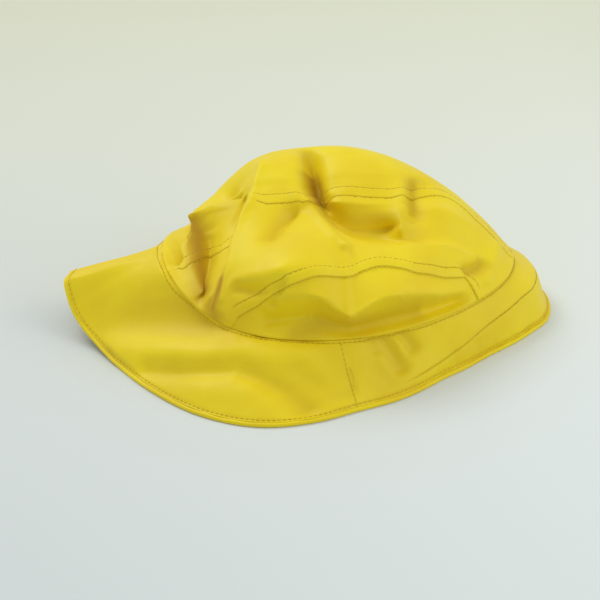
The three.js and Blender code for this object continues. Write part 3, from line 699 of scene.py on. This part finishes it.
def coated_cotton(name, colour, worn_colour):
    """Woven cotton with a soft waterproof coating: an even satin yellow that turns a little deeper where it
    is rubbed, with painted shade, a browner yellow, in deep folds. It takes a broad soft highlight, small
    crumples break that up, and the coating is drawn in along each row of stitches, which is darkened for dirt
    and painted shade in the groove; the brim's crease is darkened the same way as painted shadow. The weave
    itself is 0.3 mm, too fine to show, so the finest grain drawn is 1.2 mm."""
    material, shader = plain_material(name, {"Specular IOR Level": 0.3, "Sheen Weight": 0.05,
                                             "Sheen Roughness": 0.5})
    node = partial(add_node, material)
    place = node("TexCoord").outputs["Object"]
    rubbed, crumple, grain = (
        node("TexNoise", {"Scale": 1 / size, "Detail": detail}, {"Vector": place}).outputs["Fac"]
        for size, detail in ((0.035, 3.0), (0.009, 2.0), (0.0012, 1.0)))
    row = node("Attribute", {"attribute_name": "stitch_row"})
    off_row = node("Math", {"operation": "ABSOLUTE"}, {0: row.outputs["Fac"]})
    drawn_in_and_shade = node("MapRange", {"interpolation_type": "SMOOTHSTEP", "From Min": 0.05, "From Max": 0.5,
                                 "To Min": 1.0, "To Max": 0.0}, {"Value": off_row.outputs[0]})
    tone = node("MapRange", {"From Min": 0.35, "From Max": 0.7}, {"Value": rubbed})
    cloth_tone = node("Mix", {"data_type": "RGBA", 6: linear(colour), 7: linear(worn_colour)},
                      {0: tone.outputs[0]})
    # Painted shade: deep folds are darkened towards a browner yellow.
    fold = node("Attribute", {"attribute_name": "deep_fold"})
    fold_shade_tone = node("Mix", {"data_type": "RGBA", 7: linear("#BA8E04")},
                     {0: fold.outputs["Fac"], 6: cloth_tone.outputs[2]})
    # Dirt and painted shade along the rows of stitches, and painted shadow along the brim's crease: the
    # colour is darkened to 0.82 there.
    groove_dirt_and_shade = node("MapRange", {"To Min": 1.0, "To Max": 0.82}, {"Value": drawn_in_and_shade.outputs[0]})
    shaded = node("VectorMath", {"operation": "SCALE"},
                  {0: fold_shade_tone.outputs[2], "Scale": groove_dirt_and_shade.outputs[0]})
    gloss = node("MapRange", {"To Min": 0.4, "To Max": 0.56}, {"Value": rubbed})
    crumpled = node("Bump", {"Strength": 0.5, "Distance": 0.0006}, {"Height": crumple})
    grained = node("Bump", {"Strength": 0.25, "Distance": 0.00006},
                   {"Height": grain, "Normal": crumpled.outputs[0]})
    sunk = node("Bump", {"Strength": 0.8, "Distance": 0.0004, "invert": True},
                {"Height": drawn_in_and_shade.outputs[0], "Normal": grained.outputs[0]})
    for key, last in (("Base Color", shaded), ("Roughness", gloss), ("Normal", sunk)):
        material.node_tree.links.new(last.outputs[0], shader.inputs[key])
    return material


def put_on(mesh, material, stands_for=None):
    """A finished piece in the scene: its mesh, finish, body, material slot and CAD node."""
    mesh.materials.append(material)
    piece = bpy.data.objects.new(mesh.name, mesh)
    bpy.context.scene.collection.objects.link(piece)
    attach(piece, "root")
    if stands_for:
        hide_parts(stands_for)


def sew_on(node, outer, normal, row, fold_shade, material):
    """The piece of cloth that stands for a CAD node, in the scene."""
    put_on(cloth_mesh(node + "_cloth", outer, normal, row, fold_shade), material, node)


crown_cloth = coated_cotton("coated cotton, crown", "#F0D80E", "#EACC0C")
crown_rows = []
for label, side, steps, rows in (("right", -1, 380, 122), ("left", 1, 300, 96)):
    u, v = panel_places(side, steps, rows)
    normal = facing(crown_point, u, v, NORMAL_STEP)
    outer = crown_point(u, v)
    from_middle = from_edge(outer)
    from_below = from_edge(outer[:, ::-1])[:, ::-1]
    on_gusset = (u[:, :1] > LINE_U[125]) & (u[:, :1] < np.cos(np.radians(GUSSET_FRONT)))
    groove_gone = (from_below > ROW_MIDDLE) & (np.abs(u - GROOVE_GONE_AT) < GROOVE_GONE_REACH)
    row = np.where(on_gusset & ~groove_gone, row_pair(from_below), NO_ROW)
    relief = np.where(on_gusset, welt(from_below, u, 5), 0)
    if side < 0:
        long_chord = from_middle[:, -1] > 2 * SECOND_ROW
        behind = long_chord & (u[:, 0] < PINCH_AT - PINCH_REACH)
        in_front = long_chord & (u[:, 0] > PINCH_AT + PINCH_REACH)
        row = np.where((behind | in_front)[:, None], np.minimum(row, row_pair(from_middle)), row)
        relief += welt(from_middle, u, 6)
        for wanted in (FIRST_ROW, SECOND_ROW):
            line, facing_out = row_at(outer, normal, from_middle, wanted)
            crown_rows += [(line[part], facing_out[part]) for part in (behind, in_front)]
    else:
        relief -= SEAM_STEP * smooth_step((STEP_ENDS - from_middle) / STEP_OVER)
    kept = np.nonzero(on_gusset[:, 0])[0]
    for wanted in (FIRST_ROW, SECOND_ROW):
        crown_rows.append(row_at(outer[kept, ::-1], normal[kept, ::-1], from_below[kept, ::-1], wanted))
    sew_on(f"crown_panel_{label}", outer + normal * relief[..., None], normal, row, fold_shading(u, v),
           crown_cloth)

# Stitches of the crown: a lockstitch in thread of the cloth's colour, three millimetres to a
# stitch. Each is a short thick strand, sunk nearly half into the cloth.
STITCH_PITCH = 0.003
STITCH_LENGTH = 0.0021
STITCH_RADIUS = 0.00026
STITCH_SIDES = 6


def stitch_mesh(name, lines):
    """All stitches along the given lines, as one mesh: a strand of six sides whose radius
    falls off at both ends, set every STITCH_PITCH along each line and aligned to it."""
    centres, headings, ups = [], [], []
    for line, normals in lines:
        length = np.concatenate([[0], np.cumsum(np.linalg.norm(np.diff(line, axis=0), axis=1))])
        at = np.arange(STITCH_PITCH, length[-1] - STITCH_PITCH, STITCH_PITCH)
        ends = [np.stack([np.interp(at + half, length, line[:, k]) for k in range(3)], -1)
                for half in (-STITCH_LENGTH / 2, STITCH_LENGTH / 2)]
        centres.append((ends[0] + ends[1]) / 2)
        headings.append(ends[1] - ends[0])
        ups.append(np.stack([np.interp(at, length, normals[:, k]) for k in range(3)], -1))
    centre, heading, up = (np.concatenate(parts) for parts in (centres, headings, ups))
    heading = unit(heading)
    across = unit(np.cross(heading, up))
    up = np.cross(across, heading)
    along = np.array([-0.5, -0.38, 0.38, 0.5]) * STITCH_LENGTH
    radius = np.array([0.3, 1.0, 1.0, 0.3]) * STITCH_RADIUS
    turn = np.linspace(0, 2 * np.pi, STITCH_SIDES, endpoint=False)
    ring_across = radius[:, None] * np.cos(turn)
    ring_up = radius[:, None] * np.sin(turn) + STITCH_RADIUS * 0.25
    points = centre[:, None, None] + along[None, :, None, None] * heading[:, None, None]
    points = points + ring_across[None, ..., None] * across[:, None, None]
    points = points + ring_up[None, ..., None] * up[:, None, None]
    index = np.arange(4 * STITCH_SIDES).reshape(4, STITCH_SIDES)
    beside = np.roll(index, -1, 1)
    sides = np.stack([index[:-1], index[1:], beside[1:], beside[:-1]], -1).reshape(-1, 4)
    first = (np.arange(len(centre)) * index.size)[:, None, None]
    faces = (sides[None] + first).reshape(-1, 4).tolist()
    for cap in (index[:1], index[-1:, ::-1]):
        faces += (cap[None] + first).reshape(-1, STITCH_SIDES).tolist()
    return smooth_mesh(name, points.reshape(-1, 3), faces)


# Spun cotton, waxed with the cloth: matt, and a shade deeper than the cloth.
thread = plain_material("cotton thread", {"Base Color": linear("#D6B818"), "Roughness": 0.7})[0]
put_on(stitch_mesh("crown_stitches", crown_rows), thread)


# Side gussets: a long pointed piece of the same cloth under each crown panel, sewn to the
# panel above with a lapped seam and closed in front by a short upright seam.
def gusset_places(side, steps, rows):
    """Places of one gusset: chords from just under the panel's edge out to the brim seam."""
    first = np.arccos(np.cos(np.radians(GUSSET_FRONT)) + 0.004)
    last = np.arccos(np.cos(np.radians(GUSSET_BACK)) + 0.0005)
    u = np.cos(np.linspace(last, first, steps))
    outer = np.sqrt(1 - u * u)
    inner = np.minimum(np.interp(u, LINE_U, LINE_V) - 0.02, outer - 0.002)
    return chords(u, side * inner, side * outer, rows)


gusset_cloth = coated_cotton("coated cotton, gusset", "#EFD60E", "#E8CA0C")
for label, side in (("right", -1), ("left", 1)):
    u, v = gusset_places(side, 260, 52)
    normal = facing(crown_point, u, v, NORMAL_STEP)
    sew_on(f"side_gusset_{label}", crown_point(u, v) - normal * SEAM_STEP, normal,
           np.full_like(u, NO_ROW), fold_shading(u, v), gusset_cloth)


# Brim: two pieces of the same cloth, joined by a lapped seam on either side of the hat and
# stitched to the crown. The long back part lies on the surface and rises to the tail; the
# front is folded down along a sharp crease. Towards the hem the side seams slant forwards.
HEM_WIDTH = 0.003
HEM_HEIGHT = 0.0026
BRIM_JOIN = 92
SIDE_SLANT = 4
BRIM_TUCK = 0.0012
HEM_ROW = 0.0016
# Distance of the row of stitches from the crown. Columns: angle from the front, metres.
CROWN_ROW = np.array([(0, 0.0008), (125, 0.0008), (150, 0.003), (180, 0.003)])
# Relief along the rows, in metres: depth of the groove, height of the puckers.
BRIM_GROOVE = 0.0002
BRIM_PUCKER = 0.00018
# How much the brim's fold is rounded off, and over how far, as shares of seam to hem.
FOLD_ROUNDING = 0.02
FOLD_WIDTH = 0.04

# Columns: angle from the front, reach of the hem as a share of the half length, height of the
# hem as a share of the crown's top, place of the fold between the seam (0) and the hem (1),
# rise of the fold as a share of the half length.
BRIM = np.array([
    (0, 1.233, 0, 0.46, 0.066),
    (9, 1.205, 0, 0.45, 0.062),
    (17, 1.112, 0, 0.42, 0.054),
    (32, 0.968, 0, 0.5, 0.04),
    (45, 0.915, 0, 0.665, 0.025),
    (57, 0.897, 0, 0.785, 0.016),
    (76, 0.95, 0, 0.86, 0.004),
    (90, 1.005, 0, 0.88, 0),
    (103, 1.118, 0, 0.85, 0),
    (116, 1.225, 0, 0.8, 0),
    (130, 1.283, 0, 0.75, 0),
    (146, 1.313, 0, 0.7, 0),
    (157, 1.345, 0, 0.7, 0),
    (164, 1.385, 0.013, 0.7, 0),
    (169, 1.425, 0.038, 0.7, 0),
    (173.5, 1.485, 0.09, 0.7, 0),
    (176.5, 1.53, 0.16, 0.7, 0),
    (180, 1.56, 0.262, 0.7, 0),
])

# The tail is lifted a little more on its left side, which rounds its end: height, and the
# place and half width of the lift as angles from the front.
TAIL_LIFT = 0.015
TAIL_LIFT_AT = 175.2
TAIL_LIFT_REACH = 3.2

# Soft waves and gathers of the brim: name, height and half width in millimetres, and points
# in a chart: angle from the front, to the right negative, and place from seam (0) to hem (1).
# One degree is about 1.7 mm of the chart and one place 45 mm.
DEGREE_MILLIMETRES = 1.7
BRIM_MILLIMETRES = 45
WAVES = [
    ("tail ridge", 5.0, 14, [(-178, 0.97), (-174, 0.6), (-165, 0.05)]),
    ("side of the tail", -4.5, 14, [(-175, 0.82), (-166, 0.53), (-153, 0.28), (-141, 0.05)]),
    ("back wave", 3.4, 9, [(-158, 0.95), (-138, 0.52), (-119, 0.2), (-105, 0.19)]),
    ("back fold", -3.0, 5, [(-143, 0.85), (-120, 0.42), (-113, 0.48), (-106, 0.62), (-101, 0.87)]),
    ("back patch", 1.6, 8, [(-126, 0.78), (-116, 0.68)]),
    ("side fold", -1.8, 5, [(-104, 0.39), (-94, 0.82)]),
    ("side wave", 1.2, 5, [(-96, 0.71), (-93, 0.94)]),
    ("long gather", -3.0, 4.5, [(-79.8, 0.02), (-78.2, 0.3), (-76.5, 0.6)]),
    ("between the gathers", 0.6, 3, [(-76, 0.02), (-74.5, 0.35)]),
    ("front gather", -2.6, 4.5, [(-74, 0.02), (-72, 0.16), (-71, 0.34)]),
    ("faint gather", -1.5, 4, [(-84, 0.03), (-83, 0.22)]),
    ("low wave", -0.8, 4, [(-84, 0.45), (-81, 0.74)]),
    ("under the crease", -0.5, 3, [(-47, 0.71), (-46, 0.9)]),
    ("beside the crease", -0.5, 3, [(-57, 0.69), (-57, 0.97)]),
    ("front swell", 0.6, 7, [(-50, 0.2), (-48, 0.43)]),
    ("left back wave", 1.8, 9, [(150, 0.9), (125, 0.4), (104, 0.25)]),
    ("left side fold", -1.2, 5, [(112, 0.9), (100, 0.4)]),
    ("left gather", -1.3, 3, [(78, 0.02), (77, 0.4)]),
    ("left front gather", -0.9, 3, [(60, 0.02), (58, 0.3)]),
]
# The sharp crease of the folded front: the angles between which it fades, and its depth and
# half width in metres.
CREASE_FADES = (58, 82)
CREASE_DEPTH = 0.0007
CREASE_WIDTH = 0.001
# The brim's valleys get painted shade as deep folds do: fully at this depth in metres, but for no more than
# the limit.
VALLEY_SHADE = 0.013
SHADE_LIMIT = 0.35


def brim_frame(angle):
    """Plan angle and outward direction of the brim at an angle round the oval."""
    share = seam_share(angle)
    plan = np.arctan2(HALF_WIDTH * share[..., 1], HALF_LENGTH * share[..., 0])
    return np.degrees(plan), np.stack([np.cos(plan), np.sin(plan), np.zeros_like(plan)], -1)


def hem_point(angle):
    """The outer foot of the hem: the table's reach and height in the outward direction, and
    the tail's lift as a bell over the angle."""
    plan, outward = brim_frame(angle)
    point = HALF_LENGTH * read(BRIM, 1, turned(plan))[..., None] * outward
    point[..., 0] += SEAM_CENTRE
    point[..., 2] += np.maximum(CROWN_TOP * read(BRIM, 2, turned(plan)), 0)
    point[..., 2] += TAIL_LIFT * bump(plan % 360 - TAIL_LIFT_AT, TAIL_LIFT_REACH)
    return point


def wave_height(angle, share):
    """Height of the brim's waves and gathers in metres, fading towards both edges."""
    x = ((angle + 180) % 360 - 180) * DEGREE_MILLIMETRES
    y = share * BRIM_MILLIMETRES
    relief = 0.00018 * uneven(x, y, 30, 8)
    for name, height, half_width, points in WAVES:
        line = np.array(points) * [DEGREE_MILLIMETRES, BRIM_MILLIMETRES]
        relief += height / 1000 * bell(line, half_width, x, y)
    return relief * smooth_step(share / 0.06) * smooth_step((1 - share) / 0.08)


def brim_point(angle, share):
    """The brim between seam (0) and hem (1): a straight cut, raised to a fold at the table's
    place, with waves and a slight unevenness that fade towards both edges."""
    plan, outward = brim_frame(angle)
    start = from_share(seam_share(angle)) - outward * BRIM_TUCK
    start[..., 2] -= BRIM_TUCK / 3
    end = hem_point(angle) - outward * HEM_WIDTH * 0.5
    end[..., 2] += HEM_HEIGHT * 1.03
    along = end - start
    length = np.linalg.norm(along, axis=-1)
    run = (along * outward).sum(-1)
    up = outward * (-along[..., 2] / length)[..., None]
    up[..., 2] += run / length
    fold = read(BRIM, 3, turned(plan))
    rise = HALF_LENGTH * np.maximum(read(BRIM, 4, turned(plan)), 0)
    tent = np.where(share < fold, share / fold, (1 - share) / (1 - fold))
    raised = rise * (tent - FOLD_ROUNDING * bump(share - fold, FOLD_WIDTH)) + wave_height(angle, share)
    return start + along * share[..., None] + up * raised[..., None]


brim_cloth = coated_cotton("coated cotton, brim", "#EDD40E", "#E6C80C")
brim_rows = []
hem_rows = []
for label, middle, reach, slant, steps in (("front", 0, BRIM_JOIN + 2, -SIDE_SLANT, 360),
                                           ("back", 180, 180 - BRIM_JOIN, SIDE_SLANT, 400)):
    turn, share = np.meshgrid(np.linspace(-1, 1, steps), np.linspace(0, 1, 96), indexing="ij")
    angle = middle + turn * (reach + slant * share)
    normal = facing(lambda a, s: brim_point(a * 100, s), angle / 100, share, 0.003)
    normal *= np.sign(normal[..., 2:].mean())
    outer = brim_point(angle, share)
    from_crown = from_edge(outer) - BRIM_TUCK
    from_row = from_crown - np.interp(turned(angle), CROWN_ROW[:, 0], CROWN_ROW[:, 1])
    from_hem = from_edge(outer[:, ::-1])[:, ::-1]
    row = np.minimum(np.abs(from_row) + 0.0002, np.abs(from_hem - HEM_ROW) + 0.0003)
    plan = turned(brim_frame(angle)[0])
    relief = -BRIM_GROOVE * bump(np.minimum(np.abs(from_row), np.abs(from_hem - HEM_ROW)), GROOVE_WIDTH)
    pucker = uneven(angle * DEGREE_MILLIMETRES, from_crown * 1000, 11, 9)
    relief += BRIM_PUCKER * pucker * (bump(from_crown, 0.006) + bump(from_hem, 0.004))
    brim_rows.append(row_at(outer, normal, from_row, 0))
    hem_rows.append(row_at(outer[:, ::-1], normal[:, ::-1], from_hem[:, ::-1], HEM_ROW))
    if label == "front":
        relief += SEAM_STEP
        for end, columns in ((0, slice(None)), (-1, slice(None, None, -1))):
            turned_grid = outer[columns].swapaxes(0, 1)
            from_end = from_edge(turned_grid).swapaxes(0, 1)[columns]
            row = np.minimum(row, np.abs(from_end - FIRST_ROW))
            relief -= SEAM_STEP * smooth_step((from_end - 0.004) / 0.01)
            brim_rows.append(row_at(turned_grid, normal[columns].swapaxes(0, 1),
                                    from_end[columns].swapaxes(0, 1), FIRST_ROW))
        fade = smooth_step((plan - CREASE_FADES[0]) / (CREASE_FADES[1] - CREASE_FADES[0]))
        length = np.linalg.norm(outer[:, -1] - outer[:, 0], axis=-1)[:, None]
        from_crease = (share - read(BRIM, 3, plan)) * length
        relief -= CREASE_DEPTH * (1 - fade) * bump(from_crease, CREASE_WIDTH)
        # Painted shadow along the crease: it counts as a row, so the cloth is darkened along it.
        row = np.minimum(0.5 * np.abs(from_crease) + 0.0006 * fade, row)
    # The brim's valleys carry painted shade, deeper with the valley's depth.
    sew_on(f"brim_{label}", outer + normal * relief[..., None], normal, row,
           np.clip(-wave_height(angle, share) / VALLEY_SHADE, 0, SHADE_LIMIT), brim_cloth)

put_on(stitch_mesh("brim_stitches", brim_rows), thread)


# Hem: the edge of the brim, turned under twice and pressed to a thick rounded band, which
# lies on the surface all round but for the raised tail. One row of stitches holds it.
HEM_SIDES = 14
# Power of the profile's superellipse: 1 is an ellipse, and less is fuller in the corners.
HEM_FULLNESS = 0.7


def hem_mesh(name, steps):
    """A closed ring: a superellipse of HEM_WIDTH by HEM_HEIGHT with slight puckers, carried
    round the foot of the hem."""
    angle = np.linspace(0, 360, steps, endpoint=False)
    plan, outward = brim_frame(angle)
    turn = np.linspace(0, 2 * np.pi, HEM_SIDES, endpoint=False)
    across = np.sign(np.cos(turn)) * np.abs(np.cos(turn)) ** HEM_FULLNESS * HEM_WIDTH / 2 - HEM_WIDTH / 2
    up = np.sign(np.sin(turn)) * np.abs(np.sin(turn)) ** HEM_FULLNESS * HEM_HEIGHT / 2 + HEM_HEIGHT / 2
    pucker = 1 + 0.04 * uneven(angle * DEGREE_MILLIMETRES, angle * 0, 9, 15)
    points = hem_point(angle)[:, None] + outward[:, None] * across[None, :, None]
    points[..., 2] += up[None] * pucker[:, None]
    index = np.arange(steps * HEM_SIDES).reshape(steps, HEM_SIDES)
    beside = np.roll(index, -1, 0)
    faces = np.stack([index, beside, np.roll(beside, -1, 1), np.roll(index, -1, 1)], -1).reshape(-1, 4)
    no_row = np.full(index.size, NO_ROW * 1000)
    return smooth_mesh(name, points.reshape(-1, 3), faces.tolist(), stitch_row=no_row)


hem_cloth = coated_cotton("coated cotton, hem", "#F0D810", "#EACC0E")
put_on(hem_mesh("brim_hem_band", 900), hem_cloth, "brim_hem")
put_on(stitch_mesh("hem_stitches", hem_rows), thread)


# Floor and light: a pale floor, a little warmer towards the hat's left and with painted light making it
# brighter towards its front, under two soft lights above the hat and an even sky that fills the shadows.
floor_mesh = bpy.data.meshes.new("floor")
floor_mesh.from_pydata([(-6, -6, 0), (6, -6, 0), (6, 6, 0), (-6, 6, 0)], [], [(0, 1, 2, 3)])
floor = bpy.data.objects.new("floor", floor_mesh)
bpy.context.scene.collection.objects.link(floor)
painted_board, floor_shader = plain_material("painted board", {"Roughness": 0.8})
floor_place = add_node(painted_board, "TexCoord").outputs["Object"]
floor_axes = add_node(painted_board, "SeparateXYZ", {}, {"Vector": floor_place})
to_left = add_node(painted_board, "MapRange", {"From Min": -0.1, "From Max": 0.45},
                   {"Value": floor_axes.outputs["Y"]})
floor_tone = add_node(painted_board, "Mix", {"data_type": "RGBA", 6: linear("#D8DEDA"), 7: linear("#D6D8C0")},
                      {0: to_left.outputs[0]})
# Painted light: the floor is made brighter towards the hat's front.
painted_light_to_front = add_node(painted_board, "MapRange",
                    {"From Min": -0.2, "From Max": 0.2, "To Min": 0.95, "To Max": 1.1},
                    {"Value": floor_axes.outputs["X"]})
floor_colour_and_light = add_node(painted_board, "VectorMath", {"operation": "SCALE"},
                        {0: floor_tone.outputs[2], "Scale": painted_light_to_front.outputs[0]})
painted_board.node_tree.links.new(floor_colour_and_light.outputs[0], floor_shader.inputs["Base Color"])
floor_mesh.materials.append(painted_board)

# Softboxes: place, width in metres and strength in watts. The main one stands behind the hat
# to its left, and a weaker one in front of it to its right.
SOFTBOXES = [((-0.5, 0.45, 1.0), 0.6, 4.9), ((0.95, -0.35, 0.7), 0.8, 3.2)]
LIGHTS_AIM = Vector((0, 0, 0.04))
for number, (place, width, watts) in enumerate(SOFTBOXES):
    light_data = bpy.data.lights.new(f"softbox {number + 1}", "AREA")
    light_data.size = width
    light_data.energy = watts
    light = bpy.data.objects.new(light_data.name, light_data)
    light.location = place
    light.rotation_euler = (Vector(place) - LIGHTS_AIM).to_track_quat("Z", "Y").to_euler()
    bpy.context.scene.collection.objects.link(light)

world = bpy.data.worlds.new("sky")
world.use_nodes = True
world.node_tree.nodes["Background"].inputs["Color"].default_value = (0.93, 0.96, 1, 1)
world.node_tree.nodes["Background"].inputs["Strength"].default_value = 0.68
bpy.context.scene.world = world
bpy.context.scene.view_settings.view_transform = "Standard"
